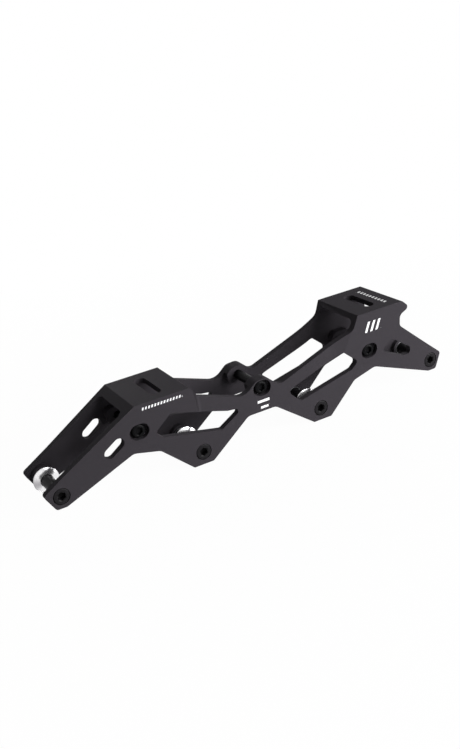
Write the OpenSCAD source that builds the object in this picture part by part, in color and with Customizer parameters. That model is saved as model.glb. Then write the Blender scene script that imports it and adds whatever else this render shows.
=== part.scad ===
// Inline skate frame for four wheels, large wheels at the ends and small ones in the middle.
// A one-piece aluminium channel with two mounting decks carries cross bolts,
// sleeve nuts, wheel axles, threaded axle inserts and loose spacer rings.
// X runs from toe to heel, Y across, Z up. The origin lies under the middle of the
// wheelbase, level with the feet of the two middle lobes.

/* [Wheels it takes] */
// Diameter of the first and last wheel
outer_wheel_d = 100; // [94:1:106]
// Diameter of the two middle wheels
inner_wheel_d = 90; // [84:1:96]
// Gap between neighbouring wheels
wheel_gap = 1; // [0.5:0.5:3]
// How much lower the middle wheels run
rocker = 0.5; // [0:0.1:1.5]
// Room between a wheel and the metal above it
wheel_clear = 1.5; // [1:0.25:2.5]
// Radius across the tread of a wheel
tread_r = 16; // [15:0.5:20]

/* [Walls] */
// Width across the walls at the axles
base_w = 39.6; // [36:0.2:42]
// Thickness of a wall
wall_t = 4.3; // [3.6:0.1:5]
// Height of the crease where the outer face starts to flare
flare_z = 28.5; // [25:0.25:32]
// Height where the outer face has reached the width of the rear deck
flare_top = 66.5; // [60:0.5:70]
// How much higher the inner crease lies than the outer one
inner_lift = 5.5; // [3:0.5:8]

/* [Lower edge of the walls] */
// Half width of the notch below the centre bolt
notch_half = 10.5; // [8:0.5:14]
// Height of that notch
notch_z = 21.7; // [19:0.1:23]
// Height of the middle axles above the feet
foot_h = 8.5; // [8.5:0.1:10]
// Length of a foot
foot_len = 14.1; // [11:0.1:18]
// How far a foot is set towards the end of the frame
foot_lean = 0.8; // [0:0.1:1.5]
// Height of the edge inboard of an end bolt
saddle_low = 20; // [18:0.25:22]
// Height of the edge outboard of an end bolt
saddle_high = 24.5; // [22:0.25:26]
// Distance from an end bolt in to the low corner
saddle_in = 12.7; // [10:0.1:15]
// Distance from an end bolt out to the high corner
saddle_out = 5; // [3:0.1:8]
// Height of an end axle above the lower edge of its tip
tip_drop = 7.8; // [7.4:0.1:10]
// Reach of the toe's tip beyond its axle
toe_reach = 10.8; // [8:0.1:12]
// Reach of the heel's tip beyond its axle
heel_reach = 9.2; // [8:0.1:12]
// Height of a tip's upper corner above its axle
tip_rise = 3.5; // [2:0.1:6]
// Length of the lower edge of a tip, outboard of its axle
tip_foot_out = 4.5; // [3:0.25:6]
// Length of the lower edge of a tip, inboard of its axle
tip_foot_in = 2.2; // [1.5:0.1:5]
// Rounding of the corners of a foot
foot_r = 1.5; // [0.5:0.25:3]
// Rounding of the notch and of the edge between a foot and a tip
saddle_r = 6; // [3:0.5:9]
// Rounding of the corners of a tip
tip_r = 2.4; // [1:0.2:4]

/* [Upper edge of the walls] */
// Rise of the wall above the centre bolt
boss_rise = 6.3; // [6:0.1:9]
// Half length of that raised stretch
boss_half = 4.2; // [3.8:0.1:7]
// How much lower the raised stretch starts at its front end
boss_slant = 0.5; // [0:0.1:2]
// How far the raised stretch and its bolt are set towards the heel
boss_shift = 1.9; // [0:0.1:3]
// Run of the slope in front of the raised stretch
boss_run_front = 9.3; // [7:0.1:14]
// Run of the slope behind the raised stretch
boss_run_back = 9; // [5:0.1:10]
// Depth of the waist in front of the raised stretch, below the top of the wall
waist_front = 8.3; // [6:0.1:9]
// Depth of the waist behind the raised stretch, below the top of the wall
waist_back = 8.3; // [6:0.1:9]
// Rounding of the raised stretch and of the waist behind it
boss_r = 6; // [3:0.5:7]
// Rounding of the waist in front of the raised stretch
waist_r = 12; // [6:0.5:16]
// Run of the slope behind the front deck
deck_run = 6.7; // [3:0.1:8]
// Drop of the slope behind the front deck
deck_drop = 8.8; // [5:0.1:9.5]
// Run of the steep part in front of the rear deck
heel_run = 4; // [1:0.1:5]
// Drop of that steep part
heel_drop = 10; // [8:0.1:12]
// Run of the flatter part in front of it
heel_ramp_run = 14; // [10:0.5:18]
// Drop of that flatter part
heel_ramp_drop = 5; // [4:0.1:8]
// Rounding between the steep part and the flatter ones
heel_r = 7; // [3:0.5:10]
// Reach of the nose behind the rear deck
nose_reach = 6.2; // [4:0.1:8]
// Drop of that nose
nose_drop = 5.8; // [4:0.1:7]
// Rounding of that nose
nose_r = 2.4; // [1:0.2:4]
// Depth of the throat below the nose, under the rear deck
throat_drop = 9.9; // [8.5:0.1:12]
// How far the throat is cut in under the rear deck
throat_depth = 1.9; // [0:0.1:3]
// Length of the upright edge of the throat
throat_len = 7.9; // [6:0.1:12]
// Rounding of the throat
throat_r = 4; // [2:0.5:6]

/* [Windows] */
// Reach of a side window outward from the middle axle
window_out = 31; // [28:0.25:32]
// Drop of that outer end below the bolts
window_out_drop = 4.8; // [4:0.1:7]
// Reach of the front side window inward from its axle
front_window_in = 28.1; // [25:0.1:29]
// Reach of the rear side window inward from its axle
rear_window_in = 22.8; // [22:0.1:29]
// How much further out the rear side window reaches
rear_window_more = 2; // [0:0.1:3]
// Drop of the upper corner of those inner ends below the bolts
window_cheek_drop = 8.2; // [6.8:0.1:9]
// Drop of the lower corner of those inner ends below the bolts
window_in_drop = 11.1; // [10:0.1:13]
// Distance of a side window's upper corner from the middle axle
window_top_x = 19; // [16:0.25:22]
// Height of that upper corner above the bolts
window_top = 5.5; // [3:0.1:7]
// Distance of a side window's lowest corner from the middle axle, inward
window_low_x = 15.1; // [12:0.1:17]
// Drop of that lowest corner below the bolts
window_low = 18.7; // [16:0.1:20]
// Distance of the shoulder above the inner end from the middle axle
window_shoulder_x = 20.5; // [18:0.1:22]
// Drop of that shoulder below the bolts
window_shoulder_drop = 7.2; // [5:0.1:7.4]
// Distance of the corner below the outer end from the middle axle
window_heel_x = 25.6; // [23:0.1:28]
// Drop of that corner below the bolts
window_heel_drop = 9.6; // [8:0.1:11]
// Rounding of a side window's corners
window_r = 2.6; // [1:0.2:4]
// Width of the small slot in the toe
toe_slot_w = 7.4; // [4:0.2:8]
// Length of that slot between its round ends
toe_slot_run = 7.6; // [4:0.2:10]
// Distance of the toe slot from the front bolt
toe_slot_x = 16.7; // [15:0.1:20]
// Drop of the toe slot below the front bolt
toe_slot_drop = 5.3; // [4:0.1:7]
// Tilt of the toe slot
toe_slot_tilt = 34; // [25:1:40]
// Length of the window in the heel
heel_window_len = 25; // [20:0.25:26]
// Distance of that window behind the rear bolt
heel_window_x = 11.4; // [10:0.2:14]
// Height of the heel window's upper corner above the rear bolt
heel_window_top = 3.8; // [2:0.1:6]
// Distance of that upper corner from the front of the window
heel_window_top_x = 8.2; // [7:0.2:10]
// Drop of the heel window's front corner below the rear bolt
heel_window_front_drop = 4.1; // [3:0.1:6]
// Drop of the heel window's lower edge below the rear bolt
heel_window_low = 12.7; // [10:0.1:14]
// Length of that lower edge
heel_window_foot = 6; // [4:0.25:8]
// Height of the heel window's rear edge
heel_window_rear = 5; // [3:0.1:6]
// Rounding of the heel window
heel_window_r = 2.2; // [1:0.2:3]

/* [Decks] */
// Distance between the two mounting slots
mount_spacing = 165; // [158:0.5:170]
// How far the slots are shifted to the heel
mount_shift = 14; // [10:0.1:17]
// Width of the rear deck; the front deck is lower on the flare and so narrower
deck_w = 46.4; // [43:0.1:50]
// Length of a deck
deck_len = 37.6; // [33:0.2:42]
// How far the middle of a deck lies outboard of its slot
deck_out = 0.7; // [0:0.1:2]
// Thickness of a deck
deck_t = 3.6; // [3:0.1:4.5]
// Height of the front deck
front_deck_z = 55.9; // [54:0.1:62]
// Height of the rear deck
rear_deck_z = 66.6; // [64:0.1:74]
// Width of a mounting slot
slot_w = 8; // [6:0.1:10]
// Length of a mounting slot
slot_len = 29; // [20:0.5:32]
// Radius under a deck where it meets a wall
deck_cove = 3; // [2:0.25:5]

/* [Axles] */
// Diameter of an axle
axle_d = 8; // [7:0.1:9]
// Diameter of an axle's head
axle_head_d = 10.6; // [9.8:0.1:12]
// Height of an axle's head
axle_head_h = 3; // [2.2:0.1:3.4]
// Hex key of the axles
axle_key = 5; // [4:0.5:6]
// Depth of the hex socket in an axle
axle_key_depth = 4; // [2:0.5:6]
// Height of the bosses that the bearings seat against
boss_h = 3.25; // [2.5:0.05:4]
// Diameter of those bosses
boss_d = 14; // [13:0.25:17]
// Body diameter of a threaded insert
insert_d = 10; // [9.6:0.1:11]
// Flange diameter of a threaded insert
insert_flange_d = 11.6; // [11.2:0.1:13]
// Flange thickness of a threaded insert
insert_flange_t = 1.2; // [0.8:0.1:2]
// How far an axle's tip stays inside the far wall
tip_set_in = 1; // [0.4:0.1:2]

/* [Spacer rings] */
// Diameter of a ring
ring_d = 16.8; // [14:0.1:18]
// Thickness of a ring
ring_t = 3.2; // [2.4:0.1:6]
// Chamfer on the edges of a ring
ring_chamfer = 0.4; // [0.2:0.1:0.8]
// Depth of the turned hollow in each face of a ring
ring_dish = 0.3; // [0.1:0.1:0.6]
// Width of the flat rims beside that hollow
ring_rim = 1.2; // [0.8:0.1:1.6]
// Distance of the front ring from the boss on the far wall
front_ring_off = 4; // [0.3:0.1:20]
// Distance of the second ring from its boss
second_ring_off = 5.5; // [0.3:0.1:20]
// Distance of the third ring from its boss
third_ring_off = 13; // [0.3:0.1:20]
// Distance of the rear ring from its boss
rear_ring_off = 18; // [0.3:0.1:20]

/* [Cross bolts] */
// Height of the cross bolts
bolt_z = 37.8; // [36.5:0.1:40]
// How far the end bolts sit inboard of the middle of the gap between two wheels
bolt_lean = 1.5; // [0:0.1:2.4]
// How far the end bolts are set towards the heel
bolt_shift = 0.8; // [0:0.1:1]
// Thread diameter of a bolt
bolt_d = 5; // [4:0.25:5.5]
// Head diameter of a bolt and of a sleeve nut
bolt_head_d = 9.6; // [9.2:0.1:10]
// Diameter of the flat on top of such a head
bolt_crown_d = 7; // [6:0.1:8]
// Height of such a head
bolt_head_h = 2.4; // [2:0.1:2.8]
// Height of the upright rim of such a head
bolt_rim_h = 0.9; // [0.5:0.1:1.4]
// Hex key of the bolts and sleeve nuts
bolt_key = 4; // [3:0.5:5]
// Depth of the hex sockets in bolts and sleeve nuts
bolt_key_depth = 1.8; // [1:0.1:2]
// Depth of a recess below the wall's face
recess_depth = 3.4; // [2.8:0.1:3.8]
// Width of a recess
recess_w = 10.6; // [10.4:0.1:12]
// Length of a recess along the wall
recess_len = 13.2; // [12.2:0.1:15]
// Outer diameter of a sleeve nut
sleeve_d = 6.6; // [6.2:0.1:8]
// Distance of a collar's face from the middle of the frame
collar_half = 11; // [8:0.25:12]
// How far a sleeve nut stops short of the facing collar
sleeve_short = 2; // [1:0.5:6]
// How far a bolt stops short of the facing collar
bolt_short = 4; // [2:0.5:8]
// Length of the collars around a bolt, along the frame
collar_len = 16; // [12:0.5:20]
// Reach of a collar below its bolt
collar_drop = 5; // [4:0.25:9]
// Rounding of a collar's corners
collar_r = 4.5; // [1:0.25:5]

/* [Hidden] */

$fn = 64;
// Largest turn between two points of a rounded outline
arc_step = 12;
// Largest share of an edge that one rounded corner may take
edge_share = 0.48;
// Radial clearance of a sliding fit
slide_fit = 0.05;
// Radial clearance of a fixed fit
fixed_fit = 0.02;
// Radial room around an axle's head
head_room = 0.2;
// Radial room around a bolt's shank
shank_room = 0.1;
// Chamfer on axle tips
tip_chamfer = 0.6;
// Overlap that keeps cuts and joins clean
eps = 1;
// Overlap of a head and its shank
bite = 0.2;
// Rounding of the upper edges of the decks
deck_edge_r = 0.6;
// Share of a deck's length by which the space under it reaches past its ends
under_share = 0.22;
// Rounding in plan where the walls draw in behind the front deck
draw_in_r = 6;
// Rounding in plan where the walls spread again before the rear deck
spread_r = 60;

// Wheel and axle places
outer_r = outer_wheel_d / 2;
inner_r = inner_wheel_d / 2;
inner_x = (inner_wheel_d + wheel_gap) / 2;
outer_x = inner_x + outer_r + inner_r + wheel_gap;
inner_z = foot_h;
outer_z = inner_z + outer_r - inner_r + rocker;
AXLES = [[-outer_x, outer_z], [-inner_x, inner_z], [inner_x, inner_z], [outer_x, outer_z]];
ROOM_R = [for (r = [outer_r, inner_r, inner_r, outer_r]) r + wheel_clear];
RING_OFF = [front_ring_off, second_ring_off, third_ring_off, rear_ring_off];

// Ends of the two decks
front_slot_x = mount_shift - mount_spacing / 2;
rear_slot_x = mount_shift + mount_spacing / 2;
deck_half = deck_w / 2;
deck_front = front_slot_x - deck_out - deck_len / 2;
deck_back = deck_front + deck_len;
heel_front = rear_slot_x + deck_out - deck_len / 2;
heel_back = heel_front + deck_len;

// Wall faces, as half widths at a height
base_half = base_w / 2;
gap_half = base_half - wall_t;
seat_half = gap_half - boss_h;
inner_flare_z = flare_z + inner_lift;
inner_flare_top = flare_top + inner_lift;
flare_slope = (deck_half - base_half) / (flare_top - flare_z);
function ramp(z, from, to) = (min(max(z, from), to) - from) * flare_slope;
function outer_half(z) = base_half + ramp(z, flare_z, flare_top);
function inner_half(z) = gap_half + ramp(z, inner_flare_z, inner_flare_top);

// Places of the cross bolts, each in the gap between two wheels
function room_x(i, z) = sqrt(pow(ROOM_R[i], 2) - pow(z - AXLES[i].y, 2));
gap_outer = outer_x - room_x(3, bolt_z);
gap_inner = inner_x + room_x(2, bolt_z);
end_bolt_x = (gap_outer + gap_inner) / 2 - bolt_lean;
BOLT_X = [bolt_shift - end_bolt_x, boss_shift, bolt_shift + end_bolt_x];

// Rounding of an outline given as [x, z, radius]; a radius gives way to short edges
function unit(v) = v / norm(v);
function flat(p) = [p.x, p.y];
function turned(v, a) = [v.x * cos(a) - v.y * sin(a), v.x * sin(a) + v.y * cos(a)];
function corner(a, b, c, r) =
    let (
        u = unit(a - b),
        v = unit(c - b),
        half = acos(u * v) / 2,
        reach = min(r / tan(half), edge_share * norm(a - b), edge_share * norm(c - b)),
        centre = b + unit(u + v) * reach / cos(half),
        start = b + u * reach - centre,
        sweep = (180 - 2 * half) * sign(u.y * v.x - u.x * v.y),
        steps = max(2, ceil(abs(sweep) / arc_step))
    )
    [for (i = [0:steps]) centre + turned(start, sweep * i / steps)];
function rounded(pts) =
    let (n = len(pts))
    [
        for (i = [0:n - 1])
            each pts[i][2] > 0
                ? corner(flat(pts[(i + n - 1) % n]), flat(pts[i]), flat(pts[(i + 1) % n]), pts[i][2])
                : [flat(pts[i])]
    ];
function mirrored(pts) = [for (i = [len(pts) - 1:-1:0]) [-pts[i].x, pts[i].y, pts[i][2]]];
function flipped(pts) = [for (i = [len(pts) - 1:-1:0]) [pts[i].x, -pts[i].y, pts[i][2]]];

// Lower edge of a wall from the middle notch to a tip with a given reach, drawn at the heel
function lower_edge(reach) = [
    [notch_half, notch_z, saddle_r],
    [inner_x + foot_lean - foot_len / 2, 0, foot_r],
    [inner_x + foot_lean + foot_len / 2, 0, foot_r],
    [end_bolt_x - saddle_in, saddle_low, saddle_r],
    [end_bolt_x + saddle_out, saddle_high, saddle_r],
    [outer_x - tip_foot_in, outer_z - tip_drop, tip_r],
    [outer_x + tip_foot_out, outer_z - tip_drop, tip_r],
    [outer_x + reach, outer_z + tip_rise, tip_r]
];

// Upper edge from the tip at the heel to the tip at the toe, over both decks
steep_x = heel_front - heel_run;
steep_z = rear_deck_z - heel_drop;
ramp_x = steep_x - heel_ramp_run;
throat_x = heel_back - throat_depth;
throat_z = rear_deck_z - throat_drop;
boss_top = bolt_z + boss_rise;
boss_to = boss_shift + boss_half;
boss_from = boss_shift - boss_half;
waist_x = deck_back + deck_run;
upper_edge = [
    [throat_x, throat_z - throat_len, throat_r],
    [throat_x, throat_z, throat_r],
    [heel_back + nose_reach, rear_deck_z - nose_drop, nose_r],
    [heel_back, rear_deck_z, nose_r],
    [heel_front, rear_deck_z, deck_edge_r],
    [steep_x, steep_z, heel_r],
    [ramp_x, steep_z - heel_ramp_drop, heel_r],
    [boss_to + boss_run_back, boss_top - waist_back, boss_r],
    [boss_to, boss_top, boss_r],
    [boss_from, boss_top - boss_slant, boss_r],
    [boss_from - boss_run_front, boss_top - waist_front, waist_r],
    [waist_x, front_deck_z - deck_drop, nose_r],
    [deck_back, front_deck_z, deck_edge_r],
    [deck_front, front_deck_z, deck_edge_r]
];
outline = concat(lower_edge(heel_reach), upper_edge, mirrored(lower_edge(toe_reach)));

// Half width of the walls in plan: drawn in between the decks
waist = [
    [deck_back, deck_half, draw_in_r],
    [waist_x, base_half, draw_in_r],
    [ramp_x, base_half, spread_r],
    [heel_front, deck_half, spread_r]
];
function wall_face(x, z) = min(outer_half(z), lookup(x, [for (p = waist) flat(p)]));

// Floors of the bolt recesses, and the ends of sleeve nuts and bolts between the collars
FLOORS = [for (x = BOLT_X) wall_face(x, bolt_z) - recess_depth];
sleeve_end = collar_half - sleeve_short;
bolt_end = collar_half - bolt_short;

// Windows through both walls; a side window reaches inward and, by a stretch, further out
function side_window(inward, more) = [
    [inner_x - window_shoulder_x, bolt_z - window_shoulder_drop, window_r],
    [inner_x - inward, bolt_z - window_cheek_drop, window_r],
    [inner_x - inward, bolt_z - window_in_drop, window_r],
    [inner_x - window_low_x, bolt_z - window_low, window_r],
    [inner_x + window_heel_x + more, bolt_z - window_heel_drop, window_r],
    [inner_x + window_out + more, bolt_z - window_out_drop, window_r],
    [inner_x + window_top_x + more, bolt_z + window_top, window_r]
];
heel_from = end_bolt_x + heel_window_x;
heel_to = heel_from + heel_window_len;
heel_low = bolt_z - heel_window_low;
heel_window = [
    [heel_from, bolt_z - heel_window_front_drop, heel_window_r],
    [heel_to - heel_window_foot, heel_low, heel_window_r],
    [heel_to, heel_low, heel_window_r],
    [heel_to, heel_low + heel_window_rear, heel_window_r],
    [heel_from + heel_window_top_x, bolt_z + heel_window_top, heel_window_r]
];

// Solids swept across the frame from a side view, and along it from an end view
sweep_w = 2 * deck_w;
sweep_len = 4 * outer_x;
module across() { rotate([90, 0, 0]) linear_extrude(sweep_w, center = true) children(); }
module along(from = -sweep_len, to = sweep_len) {
    translate([from, 0, 0]) rotate([90, 0, 90]) linear_extrude(to - from) children();
}
// Round and six-sided rods along Y from y0 to y1, through a place given as [x, z]
module rod(place, d, y0, y1, d2 = undef) {
    translate([place.x, y0, place.y])
        rotate([-90, 0, 0])
            cylinder(h = y1 - y0, d1 = d, d2 = is_undef(d2) ? d : d2);
}
module hex_rod(place, key, y0, y1) {
    translate([place.x, y0, place.y]) rotate([-90, 0, 0]) cylinder(h = y1 - y0, d = key / cos(30), $fn = 6);
}

// End view of the channel: its outer faces, and the space between its inner faces up to a height
function levels(crease, top, to) = concat([-eps, crease], to > top ? [top] : [], [to]);
module outer_view() {
    right = [for (z = levels(flare_z, flare_top, rear_deck_z + eps)) [outer_half(z), z, 0]];
    polygon(rounded(concat(right, mirrored(right))));
}
module inner_view(to, cove = 0) {
    zs = levels(inner_flare_z, inner_flare_top, to);
    right = [for (z = zs) [inner_half(z), z, z == to ? cove : 0]];
    polygon(rounded(concat(right, mirrored(right))));
}

// Upright solid that follows the walls' outer faces in plan, or lies inside them by an inset
module between_walls(inset = 0) {
    faces = concat([[-sweep_len, deck_half, 0]], waist, [[sweep_len, deck_half, 0]]);
    side = [for (p = faces) [p.x, p.y - inset, p[2]]];
    translate([0, 0, -eps])
        linear_extrude(rear_deck_z + 3 * eps)
            polygon(rounded(concat(side, flipped(side))));
}

// Space that a spinning wheel with a round tread needs between the walls
module wheel_room(i) {
    core = ROOM_R[i] - tread_r;
    translate([AXLES[i].x, 0, AXLES[i].y]) rotate([90, 0, 0]) rotate_extrude() {
        translate([0, -tread_r]) square([core, 2 * tread_r]);
        intersection() {
            translate([core, 0]) circle(tread_r);
            translate([0, -tread_r]) square([ROOM_R[i] + eps, 2 * tread_r]);
        }
    }
}

// Slot with round ends, lying along Y and running down through a deck
module deck_slot(x, top) {
    run = (slot_len - slot_w) / 2;
    depth = 3 * deck_t;
    translate([x, 0, top + eps - depth]) {
        translate([-slot_w / 2, -run, 0]) cube([slot_w, 2 * run, depth]);
        for (y = [-run, run]) translate([0, y, 0]) cylinder(h = depth, d = slot_w);
    }
}

// Long recess around a cross bolt, cut in from one face; side is -1 or 1
module recess(i, side) {
    x = BOLT_X[i];
    run = (recess_len - recess_w) / 2;
    depth = deck_half - FLOORS[i] + eps;
    y0 = side > 0 ? FLOORS[i] : -FLOORS[i] - depth;
    for (dx = [-run, run]) rod([x + dx, bolt_z], recess_w, y0, y0 + depth);
    translate([x - run, y0, bolt_z - recess_w / 2]) cube([2 * run, depth, recess_w]);
}

// Small slanted slot in the toe
module toe_slot() {
    translate([-end_bolt_x - toe_slot_x, bolt_z - toe_slot_drop]) rotate(toe_slot_tilt) {
        square([toe_slot_run, toe_slot_w], center = true);
        for (dx = [-0.5, 0.5] * toe_slot_run) translate([dx, 0]) circle(d = toe_slot_w);
    }
}

// Space between the walls: open above, except under the decks
module channel_space() {
    reach = under_share * deck_len;
    open_top = rear_deck_z + eps;
    along(to = deck_front - reach) inner_view(open_top);
    along(deck_front - reach - eps, deck_back + reach) inner_view(front_deck_z - deck_t, deck_cove);
    along(deck_back + reach - eps, heel_front - reach) inner_view(open_top);
    along(heel_front - reach - eps, heel_back + reach) inner_view(rear_deck_z - deck_t, deck_cove);
    along(heel_back + reach - eps) inner_view(open_top);
}

module frame_shell() {
    difference() {
        intersection() {
            along() outer_view();
            between_walls();
            across() difference() {
                polygon(rounded(outline));
                polygon(rounded(side_window(rear_window_in, rear_window_more)));
                polygon(rounded(mirrored(side_window(front_window_in, 0))));
                polygon(rounded(heel_window));
                toe_slot();
            }
        }
        intersection() {
            channel_space();
            between_walls(wall_t);
        }
        for (i = [0:3]) rod(AXLES[i], 2 * ROOM_R[i], -gap_half, gap_half);
        deck_slot(front_slot_x, front_deck_z);
        deck_slot(rear_slot_x, rear_deck_z);
    }
}

// Side view of a collar around a cross bolt
module collar_view(i) {
    low = bolt_z - collar_drop;
    half = [[collar_len / 2, low, collar_r], [collar_len / 2, boss_top, collar_r]];
    translate([BOLT_X[i], 0]) polygon(rounded(concat(half, mirrored(half))));
}

// Slab across the frame between two distances from the middle, on one side of it
module slab(side, y0, y1) {
    near = side > 0 ? y0 : -y1;
    translate([-sweep_len / 2, near, -eps]) cube([sweep_len, y1 - y0, sweep_w]);
}

// Pair of collars inside the walls around a cross bolt, hollowed by the wheels beside it
module collars(i) {
    difference() {
        intersection() {
            across() intersection() {
                polygon(rounded(outline));
                collar_view(i);
            }
            for (side = [-1, 1]) slab(side, collar_half, base_half - wall_t / 2);
        }
        for (k = [i, i + 1]) wheel_room(k);
    }
}

module frame_body() {
    color("#46454a") difference() {
        union() {
            frame_shell();
            for (i = [0:2]) collars(i);
            for (p = AXLES) {
                rod(p, boss_d, -gap_half - eps, -seat_half);
                rod(p, boss_d, seat_half, gap_half + eps);
            }
        }
        for (p = AXLES) {
            rod(p, axle_d + 2 * slide_fit, -base_half - eps, 0);
            rod(p, axle_head_d + 2 * head_room, -base_half - eps, -base_half + axle_head_h);
            rod(p, insert_d + 2 * fixed_fit, 0, base_half + eps);
            rod(p, insert_flange_d + 2 * fixed_fit, base_half - insert_flange_t, base_half + eps);
        }
        for (i = [0:2]) {
            recess(i, -1);
            recess(i, 1);
            rod([BOLT_X[i], bolt_z], bolt_d + 2 * shank_room, -deck_half, 0);
            rod([BOLT_X[i], bolt_z], sleeve_d + 2 * fixed_fit, 0, deck_half);
        }
    }
}

// Button head with a hex socket; its seat is at y, and it rises towards side
module button_head(place, seat, side) {
    translate([place.x, side * seat, place.y]) rotate([-90 * side, 0, 0]) {
        cylinder(h = bolt_rim_h, d = bolt_head_d);
        translate([0, 0, bolt_rim_h])
            cylinder(h = bolt_head_h - bolt_rim_h, d1 = bolt_head_d, d2 = bolt_crown_d);
    }
}
module button_socket(place, seat, side) {
    top = seat + bolt_head_h;
    y = [side * (top - bolt_key_depth), side * (top + eps)];
    hex_rod(place, bolt_key, min(y), max(y));
}

module bolt(i) {
    place = [BOLT_X[i], bolt_z];
    color("#2c2b2f") difference() {
        union() {
            button_head(place, FLOORS[i], -1);
            rod(place, bolt_d, -FLOORS[i] - bite, bolt_end);
        }
        button_socket(place, FLOORS[i], -1);
    }
}

module nut(i) {
    place = [BOLT_X[i], bolt_z];
    color("#2c2b2f") difference() {
        union() {
            button_head(place, FLOORS[i], 1);
            rod(place, sleeve_d, -sleeve_end, FLOORS[i] + bite);
        }
        button_socket(place, FLOORS[i], 1);
        rod(place, bolt_d + 2 * slide_fit, -sleeve_end - eps, bolt_end + eps);
    }
}

// Axle with a flush round head, drawn out towards -Y
module axle(i) {
    place = AXLES[i];
    tip = base_half - tip_set_in;
    color("#242327") difference() {
        union() {
            rod(place, axle_head_d, -base_half, -base_half + axle_head_h);
            rod(place, axle_d, -base_half + axle_head_h - bite, tip - tip_chamfer);
            rod(place, axle_d, tip - tip_chamfer, tip, axle_d - 2 * tip_chamfer);
        }
        hex_rod(place, axle_key, -base_half - eps, -base_half + axle_key_depth);
    }
}

// Threaded insert that the axle screws into
module axle_insert(i) {
    place = AXLES[i];
    color("#8b8b8f") difference() {
        union() {
            rod(place, insert_d, seat_half, base_half);
            rod(place, insert_flange_d, base_half - insert_flange_t, base_half);
        }
        rod(place, axle_d + 2 * slide_fit, seat_half - eps, base_half + eps);
    }
}

// Loose turned ring on an axle, at its distance from the far boss
module spacer(i) {
    place = AXLES[i];
    bore = axle_d / 2 + slide_fit;
    rim = ring_d / 2;
    half = ring_t / 2;
    dish_from = bore + ring_rim;
    dish_to = rim - ring_rim;
    face = [
        [bore, half],
        [dish_from, half],
        [dish_from + ring_dish, half - ring_dish],
        [dish_to - ring_dish, half - ring_dish],
        [dish_to, half],
        [rim - ring_chamfer, half],
        [rim, half - ring_chamfer]
    ];
    back = [for (k = [len(face) - 1:-1:0]) [face[k].x, -face[k].y]];
    color("#d8d8da") translate([place.x, seat_half - RING_OFF[i] - half, place.y])
        rotate([90, 0, 0]) rotate_extrude() polygon(concat(face, back));
}

module bolt_front() { bolt(0); }
module bolt_centre() { bolt(1); }
module bolt_rear() { bolt(2); }
module nut_front() { nut(0); }
module nut_centre() { nut(1); }
module nut_rear() { nut(2); }
module axle_front() { axle(0); }
module axle_second() { axle(1); }
module axle_third() { axle(2); }
module axle_rear() { axle(3); }
module insert_front() { axle_insert(0); }
module insert_second() { axle_insert(1); }
module insert_third() { axle_insert(2); }
module insert_rear() { axle_insert(3); }
module spacer_front() { spacer(0); }
module spacer_second() { spacer(1); }
module spacer_third() { spacer(2); }
module spacer_rear() { spacer(3); }

frame_body();
bolt_front();
bolt_centre();
bolt_rear();
nut_front();
nut_centre();
nut_rear();
axle_front();
axle_second();
axle_third();
axle_rear();
insert_front();
insert_second();
insert_third();
insert_rear();
spacer_front();
spacer_second();
spacer_third();
spacer_rear();
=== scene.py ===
import math

import bmesh
import bpy
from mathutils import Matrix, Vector


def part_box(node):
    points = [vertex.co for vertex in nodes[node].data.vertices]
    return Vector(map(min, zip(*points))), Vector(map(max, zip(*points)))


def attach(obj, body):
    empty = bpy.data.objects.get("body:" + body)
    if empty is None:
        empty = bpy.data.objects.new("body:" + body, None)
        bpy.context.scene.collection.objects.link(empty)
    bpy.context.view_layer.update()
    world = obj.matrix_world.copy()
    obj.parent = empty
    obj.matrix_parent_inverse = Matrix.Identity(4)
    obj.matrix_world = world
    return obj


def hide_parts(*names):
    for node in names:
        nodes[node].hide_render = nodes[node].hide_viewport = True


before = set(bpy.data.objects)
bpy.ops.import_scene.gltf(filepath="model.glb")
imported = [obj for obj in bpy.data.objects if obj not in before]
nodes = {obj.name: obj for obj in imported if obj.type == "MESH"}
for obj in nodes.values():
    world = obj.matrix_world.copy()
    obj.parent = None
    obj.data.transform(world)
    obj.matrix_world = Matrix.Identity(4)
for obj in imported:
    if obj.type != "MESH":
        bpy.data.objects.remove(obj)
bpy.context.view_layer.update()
mm = 0.001
fullTurn = 2 * math.pi
plainWhite = (1, 1, 1, 1)
ends = ("front", "second", "third", "rear")
crossings = ("front", "centre", "rear")
print("frame loaded:", len(nodes), "nodes")


# camera as the photo was taken
photoCamera = {
    "place": (-272.1, -509.2, 291.6),  # mm
    "turn": (65.86, 6.71, -30.16),  # degrees about X, Y and Z
    "focal": 954.3,  # pixels
    "axisDrop": 11.0,  # pixels from the picture's middle down to the lens axis
    "picture": (460, 749),  # pixels
    "clipStart": 0.01,  # m
}


def addCamera(spec):
    data = bpy.data.cameras.new("photoCamera")
    longSide = max(spec["picture"])
    data.lens = spec["focal"] / longSide * data.sensor_width
    data.shift_y = spec["axisDrop"] / longSide
    data.clip_start = spec["clipStart"]
    camera = bpy.data.objects.new("photoCamera", data)
    camera.location = Vector(spec["place"]) * mm
    camera.rotation_euler = [math.radians(angle) for angle in spec["turn"]]
    bpy.context.scene.collection.objects.link(camera)
    bpy.context.scene.camera = camera


addCamera(photoCamera)
print("camera set")


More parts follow.
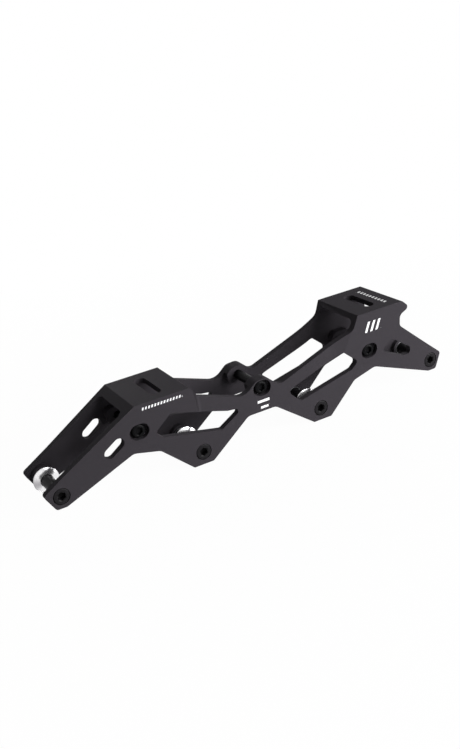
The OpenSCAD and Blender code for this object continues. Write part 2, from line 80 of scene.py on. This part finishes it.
class Wire:
    # a shader socket that can stand in a sum
    def __init__(self, tree, socket=None):
        self.tree = tree
        self.socket = socket

    def node(self, kind, settings=None, sockets=None, out=0):
        made = self.tree.nodes.new("ShaderNode" + kind)
        for name, value in (settings or {}).items():
            setattr(made, name, value)
        for name, value in (sockets or {}).items():
            if isinstance(value, Wire):
                self.tree.links.new(value.socket, made.inputs[name])
            else:
                made.inputs[name].default_value = value
        return Wire(self.tree, made.outputs[out] if made.outputs else None)

    def math(self, operation, a, b=0.0):
        return self.node("Math", {"operation": operation}, {0: a, 1: b})

    def __add__(self, other):
        return self.math("ADD", self, other)

    def __sub__(self, other):
        return self.math("SUBTRACT", self, other)

    def __mul__(self, other):
        return self.math("MULTIPLY", self, other)

    def __truediv__(self, other):
        return self.math("DIVIDE", self, other)

    def __radd__(self, other):
        return self.math("ADD", other, self)

    def __rsub__(self, other):
        return self.math("SUBTRACT", other, self)

    def __rmul__(self, other):
        return self.math("MULTIPLY", other, self)

    def __rtruediv__(self, other):
        return self.math("DIVIDE", other, self)


def newMaterial(name):
    material = bpy.data.materials.new(name)
    material.use_nodes = True
    material.node_tree.nodes.clear()
    return material, Wire(material.node_tree)


def closeMaterial(wire, shader):
    wire.node("OutputMaterial", {}, {"Surface": shader})


def blendColours(wire, share, dark, pale):
    return wire.node("Mix", {"data_type": "RGBA"}, {0: share, 6: dark, 7: pale}, out=2)


def noiseAt(wire, spot, size, detail):
    return wire.node("TexNoise", {}, {"Vector": spot, "Scale": 1 / size, "Detail": detail})


def swing(noise, width):
    return width * (noise - 0.5)  # noise lies about 0.5


# satin black anodised aluminium: fine blasted grain, faint clouds in colour and gloss
anodised = {
    "dark": (0.034, 0.031, 0.0355, 1),
    "pale": (0.039, 0.0355, 0.0403, 1),
    "paint": (0.80, 0.80, 0.81, 1),
    "gloss": 0.46,
    "cloudGloss": 0.08,  # how far clouds and grain swing the roughness
    "grainGloss": 0.06,
    "shine": 0.008,
    "grainSize": 0.00035,  # m
    "grainDepth": 0.00001,  # m
    "grainStrength": 0.6,
    "cloudSize": 0.03,  # m
    "cloudShare": 0.75,  # of the colour's change; the grain makes the rest
}

# plain white marks printed on the frame, in mm; a tick's width is a share of its pitch
printMarks = {
    "faceY": -18.6,  # the near wall's outer face lies beyond this
    "deckZ": 66.2,  # the rear deck's upper face lies above this
    "flankTicks": {"x": (-83.0, -55.5), "z": (51.5, 53.3), "pitch": 2.1, "width": 0.52, "lean": 0.3},
    "bars": {"x": (84.5, 97.5), "z": (52.0, 59.5), "pitch": 4.4, "width": 0.42, "lean": 0.35},
    "deckTicks": {"y": (-16.0, 16.0), "x": (106.2, 109.0), "pitch": 3.2, "width": 0.6, "lean": 0.3},
    "dashes": [((-2.6, 6.4), (27.9, 29.7)), ((-0.6, 5.2), (23.7, 25.3))],  # x and z limits
}


def within(wire, value, limits):
    return wire.math("GREATER_THAN", value, limits[0]) * wire.math("LESS_THAN", value, limits[1])


def tickRow(wire, run, rise, runLimits, riseLimits, spec):
    step = wire.math("FRACT", (run - spec["lean"] * rise) / spec["pitch"])
    tick = wire.math("LESS_THAN", step, spec["width"])
    return tick * within(wire, run, runLimits) * within(wire, rise, riseLimits)


def markShare(wire, spot, spec):
    inMm = wire.node("VectorMath", {"operation": "SCALE"}, {0: spot, "Scale": 1 / mm})
    x, y, z = [wire.node("SeparateXYZ", {}, {0: inMm}, out=axis) for axis in "XYZ"]
    flank, bars, deck = spec["flankTicks"], spec["bars"], spec["deckTicks"]
    side = tickRow(wire, x, z, flank["x"], flank["z"], flank)
    side = side + tickRow(wire, x, z, bars["x"], bars["z"], bars)
    for run, rise in spec["dashes"]:
        side = side + within(wire, x, run) * within(wire, z, rise)
    top = tickRow(wire, y, x, deck["y"], deck["x"], deck) * wire.math("GREATER_THAN", z, spec["deckZ"])
    return side * wire.math("LESS_THAN", y, spec["faceY"]) + top


def anodisedBlack(name, spec, marks):
    material, wire = newMaterial(name)
    spot = wire.node("TexCoord", out="Object")
    grain = noiseAt(wire, spot, spec["grainSize"], 2.0)
    cloud = noiseAt(wire, spot, spec["cloudSize"], 4.0)
    cloudShare = spec["cloudShare"]
    bare = blendColours(wire, cloudShare * cloud + (1 - cloudShare) * grain, spec["dark"], spec["pale"])
    shader = wire.node("BsdfPrincipled", {}, {
        "Base Color": blendColours(wire, markShare(wire, spot, marks), bare, spec["paint"]),
        "Roughness": spec["gloss"] + swing(cloud, spec["cloudGloss"]) + swing(grain, spec["grainGloss"]),
        "Specular IOR Level": spec["shine"],
        "Normal": wire.node("Bump", {}, {
            "Strength": spec["grainStrength"], "Distance": spec["grainDepth"], "Height": grain}),
    })
    closeMaterial(wire, shader)
    return material


# black oxide steel of the screws
blackSteel = {
    "dark": (0.003, 0.003, 0.0035, 1),
    "pale": (0.006, 0.006, 0.0065, 1),
    "gloss": 0.34,
    "grainGloss": 0.15,  # how far the grain swings the roughness
    "shine": 0.04,
    "grainSize": 0.0006,  # m
    "grainDepth": 0.000006,  # m
    "grainStrength": 0.5,
}

# the axles are a little lighter
axleSteel = {
    **blackSteel,
    "dark": (0.009, 0.0085, 0.009, 1),
    "pale": (0.016, 0.015, 0.017, 1),
    "shine": 0.05,
}


def oxideSteel(name, spec):
    material, wire = newMaterial(name)
    spot = wire.node("TexCoord", out="Object")
    grain = noiseAt(wire, spot, spec["grainSize"], 3.0)
    shader = wire.node("BsdfPrincipled", {}, {
        "Base Color": blendColours(wire, grain, spec["dark"], spec["pale"]),
        "Roughness": spec["gloss"] + swing(grain, spec["grainGloss"]),
        "Specular IOR Level": spec["shine"],
        "Normal": wire.node("Bump", {}, {
            "Strength": spec["grainStrength"], "Distance": spec["grainDepth"], "Height": grain}),
    })
    closeMaterial(wire, shader)
    return material


# bright turned metal: fine lines around the piece's own Y axis, and a painted reflection of light and
# dark wedges across them, painted into the colour
brightTurned = {
    # dark and pale are the shade and light ends of the painted reflection wedges
    "dark": (0.35, 0.34, 0.36, 1),
    "pale": (0.97, 0.96, 0.97, 1),
    "gloss": 0.2,
    "smearGloss": 0.1,  # how far the smears swing the roughness
    "metal": 0.8,
    "lineStep": 0.00018,  # m between turned lines
    "lineDepth": 0.000001,  # m
    "lineShare": 0.5,  # height of a line beside a smear
    "lineStrength": 0.7,
    # count, turn, middle share and swing of the painted reflection wedges
    "reflectionWedges": 3,
    "reflectionTurn": 1.2,  # radians
    "reflectionMiddle": 0.7,  # share of the pale colour between light and dark
    "reflectionSwing": 0.5,
}

# the inserts carry the same turned lines and painted reflection wedges, in darker colours and with a
# rougher gloss
dullTurned = {
    **brightTurned,
    # shade and light ends of the inserts' painted reflection wedges
    "dark": (0.09, 0.09, 0.095, 1),
    "pale": (0.2, 0.2, 0.21, 1),
    "gloss": 0.4,
}


def turnedMetal(name, spec):
    material, wire = newMaterial(name)
    spot = wire.node("TexCoord", out="Object")
    flat = wire.node("VectorMath", {"operation": "MULTIPLY"}, {0: spot, 1: (1, 0, 1)})
    radius = wire.node("VectorMath", {"operation": "LENGTH"}, {0: flat}, out="Value")
    line = wire.math("SINE", radius * (fullTurn / spec["lineStep"]))
    smear = wire.node("TexNoise", {"noise_dimensions": "1D"}, {
        "W": radius / spec["lineStep"], "Detail": 2.0})
    x, z = [wire.node("SeparateXYZ", {}, {0: spot}, out=axis) for axis in "XZ"]
    # painted reflection: light and dark wedges around the Y axis, painted into the base colour
    paintedWedge = wire.math("SINE", wire.math("ARCTAN2", z, x) * spec["reflectionWedges"] + spec["reflectionTurn"])
    paintedReflection = wire.math("MINIMUM", spec["reflectionMiddle"] + spec["reflectionSwing"] * paintedWedge, 1.0)
    shader = wire.node("BsdfPrincipled", {}, {
        "Base Color": blendColours(wire, paintedReflection, spec["dark"], spec["pale"]),
        "Metallic": spec["metal"],
        "Roughness": spec["gloss"] + swing(smear, spec["smearGloss"]),
        "Normal": wire.node("Bump", {}, {
            "Strength": spec["lineStrength"], "Distance": spec["lineDepth"],
            "Height": spec["lineShare"] * line + smear}),
    })
    closeMaterial(wire, shader)
    return material


frameBlack = anodisedBlack("frameBlack", anodised, printMarks)
screwBlack = oxideSteel("screwBlack", blackSteel)
axleBlack = oxideSteel("axleBlack", axleSteel)
insertSteel = turnedMetal("insertSteel", dullTurned)
ringBright = turnedMetal("ringBright", brightTurned)
print("finishes made")


# the machined frame keeps its CAD mesh; modifiers break its edges
edgeBreak = {
    "weld": 0.002,  # mm
    "flatWithin": 0.4,  # degrees
    "width": 0.45,  # mm
    "steps": 2,
    "sharpFrom": 24,  # degrees
    "flatWeight": 100,  # how far large faces set the normals
}


def dressBody(node, material, spec):
    body = nodes[node]
    body.data.materials.clear()
    body.data.materials.append(material)
    weld = body.modifiers.new("weld", "WELD")
    weld.merge_threshold = spec["weld"] * mm
    merge = body.modifiers.new("flats", "DECIMATE")
    merge.decimate_type = "DISSOLVE"
    merge.angle_limit = math.radians(spec["flatWithin"])
    edge = body.modifiers.new("edges", "BEVEL")
    edge.width = spec["width"] * mm
    edge.segments = spec["steps"]
    edge.limit_method = "ANGLE"
    edge.angle_limit = math.radians(spec["sharpFrom"])
    edge.use_clamp_overlap = True
    edge.miter_outer = "MITER_ARC"
    normals = body.modifiers.new("normals", "WEIGHTED_NORMAL")
    normals.weight = spec["flatWeight"]


dressBody("frame_body", frameBlack, edgeBreak)
print("frame dressed")


# mesh of every turned piece: points around, rows in one pitch of a thread, sharp angle in degrees
turning = {"sides": 72, "perPitch": 8, "sharpFrom": 28}


def hexagon(acrossFlats):
    sixth = fullTurn / 6

    def radius(turn, y):
        return acrossFlats / 2 / math.cos((turn + sixth / 2) % sixth - sixth / 2)
    return radius


def helix(crest, depth, pitch):
    def radius(turn, y):
        phase = (y / pitch + turn / fullTurn) % 1
        return crest - depth * abs(2 * phase - 1)
    return radius


def threadRows(first, last, radius, pitch):
    count = max(2, round(abs(last - first) / pitch * turning["perPitch"]))
    return [(first + (last - first) * k / count, radius) for k in range(count + 1)]


def arcRows(centreY, centreR, reachY, reachR, fromAngle, toAngle, count):
    rows = []
    for k in range(count + 1):
        angle = math.radians(fromAngle + (toAngle - fromAngle) * k / count)
        rows.append((centreY + reachY * math.sin(angle), centreR + reachR * math.cos(angle)))
    return rows


def socketRows(face, spec):
    # hex socket, from its drilled floor out to its chamfered mouth
    wall = hexagon(spec["key"])
    floor = face + spec["keyDepth"]
    mouth = spec["key"] / math.sqrt(3) + spec["mouthEdge"]
    rows = [(floor + spec["drill"], spec["drillEnd"]), (floor, wall)]
    return rows + [(face + spec["lead"], wall), (face, mouth)]


def nodeSpan(node):
    # where a node starts and ends along Y, and its radius, in mm
    low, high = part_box(node)
    return low.y / mm, high.y / mm, (high.x - low.x) / 2 / mm


def turnedPiece(name, node, body, rows, material, ring=False, flip=False):
    # rows run along the piece's own Y axis in mm, each with a radius or a rule for it
    low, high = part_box(node)
    sides = turning["sides"]
    mesh = bpy.data.meshes.new(name)
    bm = bmesh.new()
    loops = []
    for y, radius in rows:
        along = (-y if flip else y) * mm
        loop = []
        for k in range(sides):
            turn = fullTurn * k / sides
            reach = (radius(turn, y) if callable(radius) else radius) * mm
            loop.append(bm.verts.new((reach * math.cos(turn), along, reach * math.sin(turn))))
        loops.append(loop)
    pairs = list(zip(loops, loops[1:]))
    if ring:
        pairs.append((loops[-1], loops[0]))
    else:
        bm.faces.new(loops[0])
        bm.faces.new(loops[-1])
    for here, there in pairs:
        for k in range(sides):
            after = (k + 1) % sides
            bm.faces.new((here[k], here[after], there[after], there[k]))
    bmesh.ops.recalc_face_normals(bm, faces=bm.faces)
    bm.to_mesh(mesh)
    bm.free()
    for face in mesh.polygons:
        face.use_smooth = True
    mesh.set_sharp_from_angle(angle=math.radians(turning["sharpFrom"]))
    mesh.materials.append(material)
    piece = bpy.data.objects.new(name, mesh)
    piece.location = ((low.x + high.x) / 2, 0, (low.z + high.z) / 2)
    bpy.context.scene.collection.objects.link(piece)
    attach(piece, body)
    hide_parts(node)


# wheel axles: flush head with a hex socket, plain shank, threaded tip; mm
axleShape = {
    "headHeight": 3.0,
    "rim": 0.8,  # radius of the head's rounded edge
    "rimSteps": 4,
    "key": 5.0,  # across the flats of the socket
    "keyDepth": 4.0,
    "drill": 0.8,  # cone under the socket
    "drillEnd": 0.3,
    "lead": 0.35,  # depth and overlap of the socket's chamfer
    "mouthEdge": 0.2,
    "shank": 4.0,
    "thread": 6.0,
    "runOut": 0.5,  # from the shank down to the thread
    "pitch": 1.0,
    "threadDepth": 0.5,
    "tip": 0.6,  # length of the tip's cone, and what it takes off the radius
    "tipTaper": 0.8,
}


def makeAxle(end, spec):
    node = "axle_" + end
    face, tip, head = nodeSpan(node)
    rim, shank = spec["rim"], spec["shank"]
    seat = face + spec["headHeight"]
    threadTo = tip - spec["tip"]
    threadFrom = threadTo - spec["thread"]
    groove = helix(shank, spec["threadDepth"], spec["pitch"])
    rows = socketRows(face, spec)
    rows += arcRows(face + rim, head - rim, rim, rim, -90, 0, spec["rimSteps"])
    rows += [(seat, head), (seat, shank), (threadFrom - spec["runOut"], shank)]
    rows += threadRows(threadFrom, threadTo, groove, spec["pitch"])
    rows += [(tip, shank - spec["tipTaper"])]
    turnedPiece(node + "_turned", node, node, rows, axleBlack)


# button heads, plain shanks and sleeves of bolts and nuts; mm
screwShape = {
    "headHeight": 2.4,
    "rim": 0.6,  # upright part of the head's side
    "crown": 2.9,  # radius of the flat on top
    "crownSteps": 7,
    "seatEdge": 0.15,
    "key": 4.6,  # across the flats of the socket
    "keyDepth": 1.8,
    "drill": 0.1,  # cone under the socket and under the nut's bore
    "drillEnd": 0.3,
    "lead": 0.3,  # depth and overlap of the socket's chamfer
    "mouthEdge": 0.15,
    "shank": 2.5,
    "tip": 0.5,
    "barrel": 3.3,
    "barrelEdge": 0.2,
    "slack": 0.05,  # between the shank and the nut's bore
    "beyondTip": 1.0,  # from the bolt's tip to the floor of the bore
}


def buttonRows(outer, head, spec):
    # from the socket's floor out to the seat; outer is the top of the head
    crown, edge = spec["crown"], spec["seatEdge"]
    rise = spec["headHeight"] - spec["rim"]
    seat = outer + spec["headHeight"]
    rows = socketRows(outer, spec)
    rows += arcRows(outer + rise, crown, rise, head - crown, -90, 0, spec["crownSteps"])
    return rows + [(seat - edge, head), (seat, head - edge)]


def makeBolt(crossing, spec):
    node = "bolt_" + crossing
    outer, tip, head = nodeSpan(node)
    shank = spec["shank"]
    rows = buttonRows(outer, head, spec)
    rows += [(outer + spec["headHeight"], shank), (tip - spec["tip"], shank), (tip, shank - spec["tip"])]
    turnedPiece(node + "_turned", node, "frame", rows, screwBlack)


def makeNut(crossing, spec):
    # worked out as a bolt and flipped to the other side
    node = "nut_" + crossing
    low, high, head = nodeSpan(node)
    outer, lip = -high, -low
    boltTip = nodeSpan("bolt_" + crossing)[1]
    floor = -boltTip - spec["beyondTip"]
    barrel, edge = spec["barrel"], spec["barrelEdge"]
    bore = spec["shank"] + spec["slack"]
    rows = buttonRows(outer, head, spec)
    rows += [(outer + spec["headHeight"], barrel), (lip - edge, barrel), (lip, barrel - edge)]
    rows += [(lip, bore + edge), (lip - edge, bore)]
    rows += [(floor + spec["drill"], bore), (floor, spec["drillEnd"])]
    turnedPiece(node + "_turned", node, "frame", rows, screwBlack, flip=True)


# threaded inserts in the far wall; mm
insertShape = {
    "bore": 4.05,
    "body": 5.0,
    "flangeHeight": 1.2,
    "edge": 0.25,
    "pitch": 1.0,
    "threadDepth": 0.4,
    "seatLead": 0.5,  # chamfers at the two ends of the thread
    "faceLead": 0.6,
}


def makeInsert(end, spec):
    node = "insert_" + end
    seat, face, flange = nodeSpan(node)
    bore, body, edge = spec["bore"], spec["body"], spec["edge"]
    seatLead, faceLead = spec["seatLead"], spec["faceLead"]
    under = face - spec["flangeHeight"]
    groove = helix(bore + spec["threadDepth"], spec["threadDepth"], spec["pitch"])
    rows = [(seat, bore + seatLead), (seat, body - edge), (seat + edge, body)]
    rows += [(under, body), (under, flange)]
    rows += [(face - edge, flange), (face, flange - edge), (face, bore + faceLead)]
    rows += threadRows(face - faceLead, seat + seatLead, groove, spec["pitch"])
    turnedPiece(node + "_turned", node, "frame", rows, insertSteel, ring=True)


# loose bright rings on the axles, with a narrow land and a sloping face on either side; mm
ringShape = {
    "bore": 4.05,
    "boreEdge": 0.2,
    "land": 0.8,
    "slope": 1.4,
    "edge": 0.4,
    "edgeTurn": 60,  # degrees
    "edgeSteps": 4,
}


def makeRing(end, spec):
    node = "spacer_" + end
    front, back, rim = nodeSpan(node)
    bore, chamfer = spec["bore"], spec["boreEdge"]
    slope, edge = spec["slope"], spec["edge"]
    turn, steps = spec["edgeTurn"], spec["edgeSteps"]
    inner = bore + spec["land"]
    rows = [(front + chamfer, bore), (front, bore + chamfer), (front, inner)]
    rows += arcRows(front + slope + edge, rim - edge, edge, edge, -turn, 0, steps)
    rows += arcRows(back - slope - edge, rim - edge, edge, edge, 0, turn, steps)
    rows += [(back, inner), (back, bore + chamfer), (back - chamfer, bore)]
    turnedPiece(node + "_turned", node, node, rows, ringBright, ring=True)


for end in ends:
    makeAxle(end, axleShape)
    makeInsert(end, insertShape)
    makeRing(end, ringShape)
for crossing in crossings:
    makeBolt(crossing, screwShape)
    makeNut(crossing, screwShape)
print("turned pieces made")


# white sweep around the part, soft studio light; m and watts
studio = {
    "floorRings": (0.2, 0.6),
    "sweepRadius": 2.6,
    "sweepHeight": 0.7,
    "sweepBend": 0.5,
    "bendSteps": 8,
    "sweepSides": 64,
    "floorDrop": 0.0002,  # keeps the floor just under the feet
    "floorColour": (0.8, 0.8, 0.8, 1),
    "shadowShare": 0.03,  # how much of the floor's own shading shows under the part
    "shadowReach": 0.45,  # from the middle, where that shading has faded out
    "roomLight": 0.10,
    "lamps": [
        # name, place, size, watts
        ("key", (0.66, -0.66, 0.06), 0.8, 17),
        ("fill", (0.7, -1.1, 0.8), 0.8, 16),
        ("back", (0.05, 1.25, 0.1), 0.9, 8),
    ],
    "aim": (0.0, 0.0, 0.03),  # all lamps point at the middle of the frame
}


def seenRays(wire):
    # 1 for what the camera sees, by itself, in metal or through glass
    camera = wire.node("LightPath", out="Is Camera Ray")
    glossy = wire.node("LightPath", out="Is Glossy Ray")
    through = wire.node("LightPath", out="Is Transmission Ray")
    return wire.math("MINIMUM", camera + glossy + through, 1.0)


def sweepWhite(spec):
    material, wire = newMaterial("whiteSweep")
    spot = wire.node("TexCoord", out="Object")
    away = wire.node("VectorMath", {"operation": "LENGTH"}, {0: spot}, out="Value")
    near = wire.math("MAXIMUM", 1 - away / spec["shadowReach"], 0.0)
    share = seenRays(wire) * (1 - spec["shadowShare"] * near)
    plain = wire.node("BsdfDiffuse", {}, {"Color": spec["floorColour"]})
    white = wire.node("Emission", {}, {"Color": plainWhite, "Strength": 1.0})
    closeMaterial(wire, wire.node("MixShader", {}, {0: share, 1: plain, 2: white}))
    return material


def sweepRows(spec):
    radius, bend, steps = spec["sweepRadius"], spec["sweepBend"], spec["bendSteps"]
    foot = radius - bend
    rows = [(reach, 0.0) for reach in spec["floorRings"]] + [(foot, 0.0)]
    for k in range(1, steps + 1):
        angle = fullTurn / 4 * k / steps
        rows.append((foot + bend * math.sin(angle), bend - bend * math.cos(angle)))
    return rows + [(radius, spec["sweepHeight"])]


def addSweep(spec):
    sides = spec["sweepSides"]
    turns = [fullTurn * k / sides for k in range(sides)]
    bm = bmesh.new()
    middle = bm.verts.new((0, 0, 0))
    rim = None
    for reach, rise in sweepRows(spec):
        loop = [bm.verts.new((reach * math.cos(turn), reach * math.sin(turn), rise)) for turn in turns]
        for k in range(sides):
            after = (k + 1) % sides
            inner = (rim[after], rim[k]) if rim else (middle,)
            bm.faces.new((*inner, loop[k], loop[after]))
        rim = loop
    mesh = bpy.data.meshes.new("sweep")
    bm.to_mesh(mesh)
    bm.free()
    for face in mesh.polygons:
        face.use_smooth = True
    mesh.materials.append(sweepWhite(spec))
    sweep = bpy.data.objects.new("sweep", mesh)
    sweep.location.z = -spec["floorDrop"]
    bpy.context.scene.collection.objects.link(sweep)


def addRoom(spec):
    world = bpy.data.worlds.new("studio")
    world.use_nodes = True
    world.node_tree.nodes.clear()
    wire = Wire(world.node_tree)
    room = wire.node("Background", {}, {"Color": plainWhite, "Strength": spec["roomLight"]})
    white = wire.node("Background", {}, {"Color": plainWhite, "Strength": 1.0})
    both = wire.node("MixShader", {}, {0: seenRays(wire), 1: room, 2: white})
    wire.node("OutputWorld", {}, {"Surface": both})
    bpy.context.scene.world = world


def addLamps(spec):
    for name, place, size, watts in spec["lamps"]:
        data = bpy.data.lights.new(name, "AREA")
        data.shape = "DISK"
        data.size = size
        data.energy = watts
        lamp = bpy.data.objects.new(name, data)
        lamp.location = place
        lamp.rotation_euler = (Vector(spec["aim"]) - Vector(place)).to_track_quat("-Z", "Y").to_euler()
        bpy.context.scene.collection.objects.link(lamp)


addSweep(studio)
addRoom(studio)
addLamps(studio)
bpy.context.scene.view_settings.view_transform = "Standard"
print("sweep and light set")
